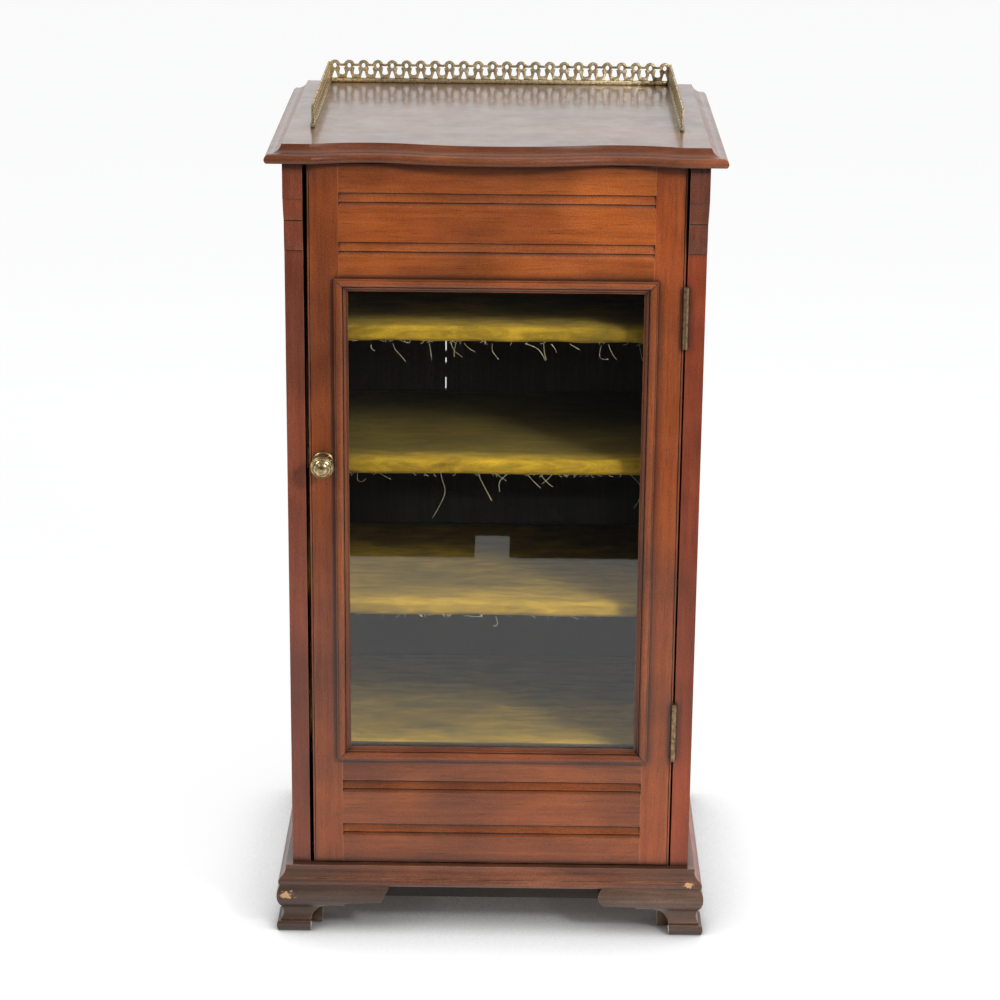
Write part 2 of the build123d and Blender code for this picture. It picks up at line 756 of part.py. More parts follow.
corner_x = half + plinth_proud
corner_y = front - plinth_proud
with BuildPart() as plinth_front:
    with BuildSketch(Plane.YZ.offset(-corner_x)):
        add(plinth_outline(front, -1))
    extrude(amount=2 * corner_x)
    split(bisect_by=Plane(origin=(-corner_x, corner_y, 0), z_dir=(1, -1, 0)), keep=Keep.TOP)
    split(bisect_by=Plane(origin=(corner_x, corner_y, 0), z_dir=(-1, -1, 0)), keep=Keep.TOP)
save(plinth_front, "plinth_front")

for side, sign in (("left", -1), ("right", 1)):
    with BuildPart() as plinth_side:
        with BuildSketch(Plane.XZ.offset(-rear)):
            add(plinth_outline(sign * half, sign))
        extrude(amount=rear - corner_y)
        split(bisect_by=Plane(origin=(sign * corner_x, corner_y, 0), z_dir=(sign, 1, 0)), keep=Keep.TOP)
    save(plinth_side, f"plinth_{side}")

# Base frame under the carcase, set back behind the feet
rail_x = half + plinth_proud - foot_thick
rail_front = front - plinth_proud + foot_thick
rail_z = (foot_height - base_rail_height, foot_height)
with BuildPart() as base_rail_front:
    block((-rail_x, rail_x), (rail_front, rail_front + base_rail_thick), rail_z)
save(base_rail_front, "base_rail_front")

with BuildPart() as base_rail_back:
    block((-rail_x, rail_x), (rear - base_rail_thick, rear), rail_z)
save(base_rail_back, "base_rail_back")

for side, sign in (("left", -1), ("right", 1)):
    with BuildPart() as base_rail:
        block(span(sign * rail_x, sign * (rail_x - base_rail_thick)),
              (rail_front + base_rail_thick, rear - base_rail_thick), rail_z)
    save(base_rail, f"base_rail_{side}")

# Blocks glued in the corners, behind the feet and under the rails
with BuildPart() as corner_blocks:
    near = (rail_front, rail_front + block_size)
    far = (rear - base_rail_thick - block_size, rear - base_rail_thick)
    for sign in (-1, 1):
        for place in (near, far):
            block(span(sign * rail_x, sign * (rail_x - block_size)), place, (block_lift, rail_z[0]))
save(corner_blocks, "corner_blocks")


# Bracket feet: an ogee face over a round toe, cut to a curved outline
def foot_section(line, outward):
    """Section of a foot; line is the outer plane of the plinth's nose."""

    def at(out, z):
        return (line + outward * out, z)

    with BuildSketch() as outline:
        with BuildLine():
            Polyline(at(0, 0), at(-foot_thick, 0), at(-foot_thick, foot_height),
                     at(-foot_shoulder, foot_height))
            ThreePointArc(at(-foot_shoulder, foot_height), at(foot_bulge, foot_bulge_height),
                          at(-foot_turn, foot_turn_height))
            ThreePointArc(at(-foot_turn, foot_turn_height), at(-foot_waist, foot_waist_height),
                          at(-toe_fillet, toe_height + toe_fillet_height))
            Polyline(at(-toe_fillet, toe_height + toe_fillet_height), at(-toe_fillet, toe_height),
                     at(toe_proud, toe_height))
            ThreePointArc(at(toe_proud, toe_height), at(foot_bulge, toe_height / 2), at(0, 0))
        make_face()
    return outline.sketch


def foot_outline(corner, along, length, tip):
    """Front outline of a foot from its corner; its tip is a scroll, broken or square."""

    def at(u, z):
        return (corner + along * u, z)

    low = foot_arch_height
    high = low + foot_step
    outside = -foot_bulge - 1
    heel = at(outside, foot_height)
    arch_end = toe_width + arch_length
    step_end = arch_end + arch_flat
    shoulder = at(step_end + step_length, high)
    with BuildSketch() as outline:
        with BuildLine():
            Polyline(heel, at(outside, 0), at(toe_width, 0), at(toe_width, toe_height))
            ThreePointArc(at(toe_width, toe_height), at(toe_width + arch_bend[0], arch_bend[1]),
                          at(arch_end, low))
            Polyline(at(arch_end, low), at(step_end, low), shoulder)
            if tip == "scroll":
                Line(shoulder, at(length - scroll_depth, high))
                ThreePointArc(at(length - scroll_depth, high), at(length, high + scroll_depth),
                              at(length - scroll_back, foot_height))
                Line(at(length - scroll_back, foot_height), heel)
            elif tip == "broken":
                Polyline(shoulder, at(length, high + foot_step), at(length + break_lean, foot_height), heel)
            else:
                Polyline(shoulder, at(length, high), at(length, foot_height), heel)
        make_face()
    return outline.sketch


for side, sign, tip in (("left", -1, "broken"), ("right", 1, "scroll")):
    corner = sign * corner_x
    with BuildPart() as foot_front:
        with BuildSketch(Plane.YZ.offset(min(corner, corner - sign * 2 * foot_length_front) - foot_bulge)):
            add(foot_section(corner_y, -1))
        extrude(amount=2 * foot_length_front + 2 * foot_bulge)
        with BuildSketch(Plane.XZ.offset(-corner_y - 2 * foot_thick)):
            add(foot_outline(corner, -sign, foot_length_front, tip))
        extrude(amount=4 * foot_thick, mode=Mode.INTERSECT)
        split(bisect_by=Plane(origin=(corner, corner_y, 0), z_dir=(-sign, -1, 0)), keep=Keep.TOP)
    save(foot_front, f"foot_front_{side}")

    with BuildPart() as foot_side:
        with BuildSketch(Plane.XZ.offset(-corner_y - 2 * foot_length_side)):
            add(foot_section(corner, sign))
        extrude(amount=2 * foot_length_side + 2 * foot_bulge)
        with BuildSketch(Plane.YZ.offset(corner - 2 * foot_thick)):
            add(foot_outline(corner_y, 1, foot_length_side, "square"))
        extrude(amount=4 * foot_thick, mode=Mode.INTERSECT)
        split(bisect_by=Plane(origin=(corner, corner_y, 0), z_dir=(sign, 1, 0)), keep=Keep.TOP)
    save(foot_side, f"foot_side_front_{side}")

    with BuildPart() as foot_rear:
        with BuildSketch(Plane.XZ.offset(-rear)):
            add(foot_section(corner, sign))
        extrude(amount=2 * foot_length_side)
        with BuildSketch(Plane.YZ.offset(corner - 2 * foot_thick)):
            add(foot_outline(rear, -1, foot_length_side, "square"))
        extrude(amount=4 * foot_thick, mode=Mode.INTERSECT)
    save(foot_rear, f"foot_side_rear_{side}")

# Plain brackets that carry the back rail
with BuildPart() as foot_backs:
    for sign in (-1, 1):
        with BuildSketch(Plane.XZ.offset(-rear)):
            with BuildLine():
                Polyline((sign * rail_x, 0), (sign * (rail_x - foot_width_back), 0),
                         (sign * (rail_x - foot_length_back), rail_z[0]), (sign * rail_x, rail_z[0]),
                         close=True)
            make_face()
        extrude(amount=base_rail_thick)
save(foot_backs, "foot_backs")
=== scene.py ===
# %% [markdown]
# # A glazed music roll cabinet
#
# A small mahogany cabinet with a glazed door, velvet-lined shelves, bracket feet
# and a pierced brass gallery round its top. The solid model already has its size
# and its joints. Here each surface gets its finish, and the soft and cast pieces
# get the rounder forms that a solid model leaves out.

# %% Load the solid model
import math
import random

import bpy
from mathutils import Matrix, Vector


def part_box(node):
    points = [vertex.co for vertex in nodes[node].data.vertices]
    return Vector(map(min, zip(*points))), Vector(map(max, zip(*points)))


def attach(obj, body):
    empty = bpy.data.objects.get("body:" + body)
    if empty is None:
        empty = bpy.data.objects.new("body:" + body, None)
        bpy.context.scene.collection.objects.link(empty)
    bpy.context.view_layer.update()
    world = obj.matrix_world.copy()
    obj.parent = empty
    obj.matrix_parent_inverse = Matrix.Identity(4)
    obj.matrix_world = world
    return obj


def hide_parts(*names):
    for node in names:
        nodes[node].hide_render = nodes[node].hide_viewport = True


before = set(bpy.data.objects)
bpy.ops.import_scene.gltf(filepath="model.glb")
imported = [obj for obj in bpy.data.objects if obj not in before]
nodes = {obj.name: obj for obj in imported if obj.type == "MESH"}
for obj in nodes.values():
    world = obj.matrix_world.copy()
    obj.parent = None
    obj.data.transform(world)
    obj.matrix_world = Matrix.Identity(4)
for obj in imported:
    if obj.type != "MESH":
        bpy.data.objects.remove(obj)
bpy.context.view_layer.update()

MM = 0.001

# %% [markdown]
# ## The camera
#
# The picture was taken from about three metres away and well above the top, with
# a long lens. The place and the turn of the camera were worked out from the
# cabinet's own straight edges, so a render lies over the picture.

# %% Camera
yaw, pitch, roll = (math.radians(angle) for angle in (-0.31, 18.02, 0.55))
forward = Vector((math.sin(yaw) * math.cos(pitch), math.cos(yaw) * math.cos(pitch), -math.sin(pitch)))
level = Vector((math.cos(yaw), -math.sin(yaw), 0.0))
raised = level.cross(forward)
across = math.cos(roll) * level + math.sin(roll) * raised
upward = -math.sin(roll) * level + math.cos(roll) * raised

camera_data = bpy.data.cameras.new("camera")
camera_data.sensor_width = 36.0
camera_data.lens = 104.3
camera = bpy.data.objects.new("camera", camera_data)
bpy.context.collection.objects.link(camera)
turn = Matrix((across, upward, -forward)).transposed().to_4x4()
camera.matrix_world = Matrix.Translation((0.02397, -3.26403, 1.52813)) @ turn
bpy.context.scene.camera = camera
bpy.context.scene.view_settings.view_transform = "Standard"
print("camera looks along", tuple(round(v, 3) for v in forward))

# %% [markdown]
# ## A short way to write materials
#
# Every finish here is a tree of nodes. One helper adds a node and fills its
# sockets: a number or colour is set, and the output of another node is linked.

# %% Helpers for node trees


def add(tree, kind, sockets=None, **settings):
    made = tree.nodes.new(kind)
    for key, value in settings.items():
        setattr(made, key, value)
    for key, value in (sockets or {}).items():
        if isinstance(value, bpy.types.NodeSocket):
            tree.links.new(value, made.inputs[key])
        else:
            made.inputs[key].default_value = value
    return made


def ramp(tree, factor, stops):
    made = add(tree, "ShaderNodeValToRGB", {"Fac": factor})
    while len(made.color_ramp.elements) < len(stops):
        made.color_ramp.elements.new(0.5)
    for element, (place, colour) in zip(made.color_ramp.elements, stops):
        element.position = place
        element.color = (*colour, 1.0) if len(colour) == 3 else colour
    return made.outputs["Color"]


def grey(value):
    return (value, value, value)


def blend(tree, factor, first, second, mode="MIX"):
    made = add(tree, "ShaderNodeMix", data_type="RGBA", blend_type=mode)
    for socket, value in ((made.inputs[0], factor), (made.inputs[6], first), (made.inputs[7], second)):
        if isinstance(value, bpy.types.NodeSocket):
            tree.links.new(value, socket)
        elif isinstance(value, (int, float)):
            socket.default_value = value
        else:
            socket.default_value = (*value, 1.0)
    return made.outputs[2]


def reckon(tree, operation, first, second=0.0):
    return add(tree, "ShaderNodeMath", {0: first, 1: second}, operation=operation).outputs[0]


def noise(tree, vector, scale, detail=2.0, roughness=0.5, distortion=0.0):
    return add(tree, "ShaderNodeTexNoise", {
        "Vector": vector, "Scale": scale, "Detail": detail, "Roughness": roughness, "Distortion": distortion,
    }).outputs["Fac"]


def start(name):
    material = bpy.data.materials.new(name)
    material.use_nodes = True
    material.node_tree.nodes.clear()
    return material, material.node_tree


def surface(tree, shader):
    add(tree, "ShaderNodeOutputMaterial", {"Surface": shader})


def object_place(tree):
    return add(tree, "ShaderNodeTexCoord").outputs["Object"]


def split(tree, vector):
    return add(tree, "ShaderNodeSeparateXYZ", {0: vector}).outputs


def stretched(tree, stretch, shift=(0.0, 0.0, 0.0)):
    sockets = {"Vector": object_place(tree), "Scale": stretch, "Location": shift}
    return add(tree, "ShaderNodeMapping", sockets).outputs["Vector"]


def length(tree, vector):
    return add(tree, "ShaderNodeVectorMath", {0: vector}, operation="LENGTH").outputs["Value"]


def scaled(colour, share):
    return tuple(share * part for part in colour)


# 1 where another surface is near, and 0 in the open.
def closeness(tree, distance, samples, shut, open_air):
    sky = add(tree, "ShaderNodeAmbientOcclusion", {"Distance": distance}, samples=samples).outputs["AO"]
    return ramp(tree, sky, [(shut, grey(1.0)), (open_air, grey(0.0))])


# 1 on a flat face, and less near an edge, where the bevelled normal turns away.
def flatness(tree, radius, kind):
    normal = add(tree, "ShaderNodeNewGeometry").outputs[kind]
    bent = add(tree, "ShaderNodeBevel", {"Radius": radius}, samples=4).outputs[0]
    return add(tree, "ShaderNodeVectorMath", {0: normal, 1: bent}, operation="DOT_PRODUCT").outputs["Value"]


# %% [markdown]
# ## The room
#
# The cabinet stands on a white sheet that ends about a metre and a half in front
# of it, with a small patch that reaches a little further, and the room beyond
# that is dark. That edge shows in the glass: the lower part of the pane mirrors
# the pale sheet, and the upper part the dark room. To the camera the floor is a
# plain pale surface with a painted shadow, darker where the cabinet stands close
# over it, and only what it gives to mirrored rays knows about the edge.

# %% Floor
sheet_end = -1.49
patch_end, patch_middle, patch_half_width = -1.60, -0.012, 0.028

bpy.ops.object.select_all(action="DESELECT")
bpy.ops.mesh.primitive_plane_add(size=60.0, location=(0, 0, 0))
floor = bpy.context.object
floor.name = "floor"
material, tree = start("pale floor")
rays = add(tree, "ShaderNodeLightPath")
at = split(tree, object_place(tree))
sheet = reckon(tree, "GREATER_THAN", at["Y"], sheet_end)
near_patch = reckon(tree, "GREATER_THAN", at["Y"], patch_end)
from_middle = reckon(tree, "ABSOLUTE", reckon(tree, "SUBTRACT", at["X"], patch_middle))
patch = reckon(tree, "MULTIPLY", near_patch, reckon(tree, "LESS_THAN", from_middle, patch_half_width))
mirrored = blend(tree, reckon(tree, "MAXIMUM", sheet, patch), grey(0.035), grey(0.95))
plain = add(tree, "ShaderNodeBsdfDiffuse", {"Color": (0.82, 0.83, 0.85, 1.0)}).outputs[0]
# Painted shadow: to the camera the floor is darkened where the cabinet stands close over it.
open_above = add(tree, "ShaderNodeAmbientOcclusion", {"Distance": 0.16}, samples=8).outputs["AO"]
shade = ramp(tree, open_above, [(0.25, (0.05, 0.045, 0.04)), (0.50, (0.30, 0.29, 0.28)),
                                (0.72, grey(0.82)), (0.90, grey(1.0))])
seen = add(tree, "ShaderNodeEmission", {"Color": shade, "Strength": 1.13}).outputs[0]
in_camera = add(tree, "ShaderNodeMixShader", {0: 0.80, 1: plain, 2: seen}).outputs[0]
in_mirror = add(tree, "ShaderNodeEmission", {"Color": mirrored}).outputs[0]
shown = add(tree, "ShaderNodeMixShader", {0: rays.outputs["Is Camera Ray"], 1: plain, 2: in_camera}).outputs[0]
shown = add(tree, "ShaderNodeMixShader", {0: rays.outputs["Is Glossy Ray"], 1: shown, 2: in_mirror}).outputs[0]
surface(tree, shown)
floor.data.materials.append(material)

# %% World: white behind the cabinet, dim in front
world = bpy.data.worlds.new("studio")
bpy.context.scene.world = world
world.use_nodes = True
tree = world.node_tree
tree.nodes.clear()
rays = add(tree, "ShaderNodeLightPath")
towards = split(tree, add(tree, "ShaderNodeTexCoord").outputs["Generated"])
behind = ramp(tree, towards["Y"], [(0.0, grey(0.10)), (0.25, grey(1.0))])
fill = add(tree, "ShaderNodeBackground", {"Color": (0.97, 0.98, 1.0, 1.0), "Strength": 0.30}).outputs[0]
white = add(tree, "ShaderNodeBackground", {"Color": (1.0, 1.0, 1.0, 1.0), "Strength": 1.0}).outputs[0]
mirror = add(tree, "ShaderNodeBackground", {"Color": behind, "Strength": 1.25}).outputs[0]
lit = add(tree, "ShaderNodeMixShader", {0: rays.outputs["Is Camera Ray"], 1: fill, 2: white}).outputs[0]
lit = add(tree, "ShaderNodeMixShader", {0: rays.outputs["Is Glossy Ray"], 1: lit, 2: mirror}).outputs[0]
add(tree, "ShaderNodeOutputWorld", {"Surface": lit})

# %% Lamps: two soft boxes at the front, and a softer one overhead


def softbox(name, place, aim, size, energy):
    data = bpy.data.lights.new(name, "AREA")
    data.shape = "RECTANGLE"
    data.size, data.size_y = size
    data.energy = energy
    data.color = (1.0, 1.0, 1.0)
    lamp = bpy.data.objects.new(name, data)
    bpy.context.collection.objects.link(lamp)
    lamp.location = place
    lamp.rotation_euler = (Vector(aim) - Vector(place)).to_track_quat("-Z", "Y").to_euler()
    return lamp


softbox("lamp_right", (1.60, -1.75, 1.95), (0, 0, 0.5), (0.45, 0.45), 66.0)
softbox("lamp_left", (-1.85, -1.35, 2.1), (0, 0, 0.5), (0.55, 0.55), 19.0)
overhead = softbox("lamp_over", (0, -0.5, 3.2), (0, 0, 0.8), (2.0, 1.6), 33.0)
overhead.visible_glossy = False

# %% [markdown]
# ## Mahogany
#
# The real cabinet is french polished: a thin clear film over a red brown wood.
# The colour is built from three scales. A broad band gives the figure, fine
# streaks run with the grain, and short dark dashes are the open pores. The grain
# runs along each board, so the same tree is made three times with its pattern
# stretched along X, Y or Z. Polish wears off the arrises, and the pale worn
# arrises also carry painted highlights. The quirks and corners are darkened,
# partly by dirt and partly as painted shade. A bevel of the normal finds the
# first, and nearness to another surface the second.
#
# Some boards need more. The edges of the top are redder than its flat. The inner
# faces of the sides were never polished, and their colour is darkened as painted
# shade for the narrow gap beside the door. The right side and the hinge stile
# have lighter copies of their shades, painted lamp light from the right. The
# ends of the base moulding are dull. A glued joint, mitre lines and torn chips
# are drawn where the cabinet has them.

# %% Wood finishes
tone_stops = (0.34, 0.5, 0.66)
# Unpolished inner faces, darkened as painted shade for the gap beside the door.
unpolished_and_shaded_wood = (0.030, 0.014, 0.008)
glue_line, mitre_line = (0.02, 0.01, 0.006), (0.015, 0.007, 0.004)
dull_end = (0.050, 0.030, 0.020)
# Browns of painted shade with some dirt, for corners, quirks and the undersides of overhangs.
soft_shade_and_dirt_brown, grime_and_shade_brown = (0.030, 0.012, 0.007), (0.018, 0.008, 0.005)
# Pale wood of worn arrises, which also stands for painted highlights along them.
rubbed_and_highlight_wood, torn_wood = (0.36, 0.22, 0.14), (0.50, 0.28, 0.12)


# joint: where the glued line starts in X, and its Y.
# mitre: the middle and half size of the glazed opening, in X and then in Z.
# inner_face: how far from the middle the inner faces of the sides are.
# chips: the place and the radius of each one.
def wood(name, along, shades, pore=0.55, polish=0.55, film=0.16, base_rough=0.42, wear_and_highlight=0.5, dirt_and_shade=0.85,
         figure=9.0, seed=0.0, chips=(), edges=None, joint=None, mitre=None, inner_face=None, grey_ends=0.0):
    dark, _, light = shades
    material, tree = start(name)
    squeeze = [1.0, 1.0, 1.0]
    squeeze[along] = 0.035
    fine = stretched(tree, squeeze, (seed, seed * 0.7, seed * 1.3))
    squeeze[along] = 0.22
    broad = stretched(tree, squeeze, (seed * 2.1, seed, seed * 0.4))
    bands = noise(tree, broad, figure, 4.0, 0.55, 1.1)
    streaks = noise(tree, fine, 190.0, 5.0, 0.62)
    silk = noise(tree, fine, 620.0, 3.0, 0.6)
    tone = reckon(tree, "ADD", reckon(tree, "MULTIPLY", bands, 0.55), reckon(tree, "MULTIPLY", streaks, 0.33))
    tone = reckon(tree, "ADD", tone, reckon(tree, "MULTIPLY", silk, 0.12))
    colour = ramp(tree, tone, list(zip(tone_stops, shades)))
    everywhere = object_place(tree)
    at = split(tree, everywhere)
    facing = split(tree, add(tree, "ShaderNodeNewGeometry").outputs["Normal"])
    coat = polish
    if edges:
        flat_top = reckon(tree, "GREATER_THAN", facing["Z"], 0.96)
        colour = blend(tree, flat_top, ramp(tree, tone, list(zip(tone_stops, edges))), colour)
        coat = reckon(tree, "ADD", reckon(tree, "MULTIPLY", flat_top, 0.65 * polish), 0.35 * polish)
    pores = ramp(tree, noise(tree, fine, 1150.0, 2.0, 0.5), [(0.60, grey(0.0)), (0.72, grey(1.0))])
    colour = blend(tree, reckon(tree, "MULTIPLY", pores, pore), colour, scaled(dark, 0.35))
    # Inner faces lose the coat, and their colour is darkened as painted shade for the gap beside the door.
    if inner_face:
        inside = reckon(tree, "LESS_THAN", reckon(tree, "ABSOLUTE", at["X"]), inner_face + 0.0005)
        sideways = reckon(tree, "GREATER_THAN", reckon(tree, "ABSOLUTE", facing["X"]), 0.9)
        unpolished_and_shaded = reckon(tree, "MULTIPLY", inside, sideways)
        colour = blend(tree, reckon(tree, "MULTIPLY", unpolished_and_shaded, 0.6), colour, unpolished_and_shaded_wood)
        coat = reckon(tree, "SUBTRACT", polish, reckon(tree, "MULTIPLY", unpolished_and_shaded, polish))
    blotch = noise(tree, everywhere, 26.0, 4.0, 0.62)
    stain = ramp(tree, noise(tree, everywhere, 6.5, 3.0, 0.55),
                 [(0.34, (0.66, 0.66, 0.70)), (0.64, (1.20, 1.14, 1.0))])
    colour = blend(tree, 1.0, colour, stain, "MULTIPLY")
    flecks = ramp(tree, noise(tree, everywhere, 780.0, 3.0, 0.7), [(0.38, grey(0.68)), (0.62, grey(1.24))])
    colour = blend(tree, 1.0, colour, flecks, "MULTIPLY")
    if joint:
        joint_start, joint_y = joint
        wander = reckon(tree, "MULTIPLY", reckon(tree, "SUBTRACT", noise(tree, everywhere, 14.0), 0.5), 0.002)
        off = reckon(tree, "ADD", reckon(tree, "SUBTRACT", at["Y"], joint_y), wander)
        line = reckon(tree, "LESS_THAN", reckon(tree, "ABSOLUTE", off), 0.00045)
        line = reckon(tree, "MULTIPLY", line, reckon(tree, "GREATER_THAN", at["X"], joint_start))
        colour = blend(tree, reckon(tree, "MULTIPLY", line, 0.8), colour, glue_line)
    if mitre:
        middle_x, half_width, middle_z, half_height = mitre
        from_side = reckon(tree, "ABSOLUTE", reckon(tree, "SUBTRACT", at["X"], middle_x))
        from_end = reckon(tree, "ABSOLUTE", reckon(tree, "SUBTRACT", at["Z"], middle_z))
        off = reckon(tree, "SUBTRACT", reckon(tree, "SUBTRACT", from_side, half_width),
                     reckon(tree, "SUBTRACT", from_end, half_height))
        line = reckon(tree, "LESS_THAN", reckon(tree, "ABSOLUTE", off), 0.0011)
        colour = blend(tree, reckon(tree, "MULTIPLY", line, 0.85), colour, mitre_line)
    if grey_ends:
        out = reckon(tree, "ADD", reckon(tree, "ABSOLUTE", at["X"]), reckon(tree, "MULTIPLY", blotch, 0.05))
        dulled = reckon(tree, "MULTIPLY", ramp(tree, out, [(0.13, grey(0.0)), (0.24, grey(1.0))]), grey_ends)
        colour = blend(tree, dulled, colour, dull_end)
    # Painted shade with some dirt: darker in corners, quirks and under overhangs, from nearness to another surface.
    if dirt_and_shade:
        soft_shade_and_dirt = reckon(tree, "MULTIPLY", closeness(tree, 0.050, 4, 0.45, 0.97), 0.65 * dirt_and_shade)
        colour = blend(tree, soft_shade_and_dirt, colour, soft_shade_and_dirt_brown)
        grime_and_shade = reckon(tree, "MULTIPLY", closeness(tree, 0.009, 6, 0.50, 0.96), dirt_and_shade)
        colour = blend(tree, grime_and_shade, colour, grime_and_shade_brown)
    # Paler arrises: partly wear, and partly painted highlight along the edges.
    if wear_and_highlight:
        edge = ramp(tree, flatness(tree, 0.0011, "Normal"), [(0.86, grey(1.0)), (0.995, grey(0.0))])
        rubbed = reckon(tree, "MULTIPLY", edge, ramp(tree, blotch, [(0.42, grey(0.15)), (0.62, grey(1.0))]))
        bare_and_highlight = blend(tree, 0.5, scaled(light, 1.9), rubbed_and_highlight_wood)
        colour = blend(tree, reckon(tree, "MULTIPLY", rubbed, wear_and_highlight), colour, bare_and_highlight)
    for torn_at, radius in chips:
        off = add(tree, "ShaderNodeVectorMath", {0: everywhere, 1: torn_at}, operation="SUBTRACT").outputs[0]
        off = add(tree, "ShaderNodeVectorMath", {0: off, 1: (1.0, 1.0, 2.3)}, operation="MULTIPLY").outputs[0]
        tear = reckon(tree, "SUBTRACT", noise(tree, everywhere, 170.0, 4.0, 0.65), 0.5)
        ragged = reckon(tree, "ADD", length(tree, off), reckon(tree, "MULTIPLY", tear, 0.035))
        torn = reckon(tree, "LESS_THAN", ragged, radius)
        colour = blend(tree, torn, colour, torn_wood)
    haze = ramp(tree, blotch, [(0.35, grey(base_rough - 0.05)), (0.68, grey(base_rough + 0.07))])
    height = reckon(tree, "ADD", reckon(tree, "MULTIPLY", pores, -0.6), reckon(tree, "MULTIPLY", streaks, 0.35))
    bump = add(tree, "ShaderNodeBump", {"Height": height, "Strength": 0.22, "Distance": 0.0004}).outputs[0]
    ripple = add(tree, "ShaderNodeBump", {
        "Height": noise(tree, everywhere, 34.0, 2.0, 0.5), "Strength": 0.10, "Distance": 0.0012,
    }).outputs[0]
    shader = add(tree, "ShaderNodeBsdfPrincipled", {
        "Base Color": colour, "Roughness": haze, "Normal": bump, "Coat Normal": ripple,
        "Coat Weight": coat, "Coat Roughness": film, "Coat IOR": 1.5, "Specular IOR Level": 0.35,
    })
    surface(tree, shader.outputs[0])
    return material


X, Y, Z = 0, 1, 2
door_shades = ((0.122, 0.026, 0.005), (0.208, 0.046, 0.007), (0.29, 0.073, 0.011))
# A lighter copy of the door shades: painted lamp light on the hinge stile, from the right.
hinge_stile_lit_shades = ((0.145, 0.028, 0.005), (0.245, 0.051, 0.007), (0.34, 0.081, 0.011))
rail_shades = ((0.145, 0.030, 0.004), (0.232, 0.052, 0.006), (0.35, 0.090, 0.012))
rail_low_shades = ((0.125, 0.028, 0.005), (0.200, 0.047, 0.008), (0.30, 0.080, 0.014))
# A lighter, redder copy of the side shades: painted lamp light on the right side.
right_side_lit_shades = ((0.125, 0.020, 0.006), (0.205, 0.035, 0.008), (0.29, 0.056, 0.014))
right_capital_shades = ((0.066, 0.018, 0.009), (0.110, 0.030, 0.014), (0.17, 0.050, 0.024))
side_shades = ((0.098, 0.021, 0.009), (0.155, 0.034, 0.013), (0.22, 0.053, 0.020))
top_shades = ((0.060, 0.024, 0.013), (0.095, 0.040, 0.022), (0.14, 0.062, 0.036))
top_edge_shades = ((0.075, 0.018, 0.006), (0.135, 0.037, 0.012), (0.21, 0.064, 0.022))
base_shades = ((0.055, 0.018, 0.009), (0.155, 0.045, 0.018), (0.27, 0.088, 0.038))
foot_shades = ((0.040, 0.021, 0.012), (0.088, 0.046, 0.029), (0.18, 0.105, 0.072))
inner_shades = ((0.016, 0.011, 0.008), (0.034, 0.022, 0.014), (0.062, 0.040, 0.025))
deal_shades = ((0.10, 0.060, 0.032), (0.19, 0.118, 0.062), (0.28, 0.180, 0.100))

left_edge, right_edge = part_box("moulding_left")[0][0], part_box("moulding_right")[1][0]
foot_edge, head_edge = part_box("moulding_foot")[0][2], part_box("moulding_head")[1][2]
inner_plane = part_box("side_right")[0][0]
mitre_lines = ((left_edge + right_edge) / 2, (right_edge - left_edge) / 2,
               (foot_edge + head_edge) / 2, (head_edge - foot_edge) / 2)

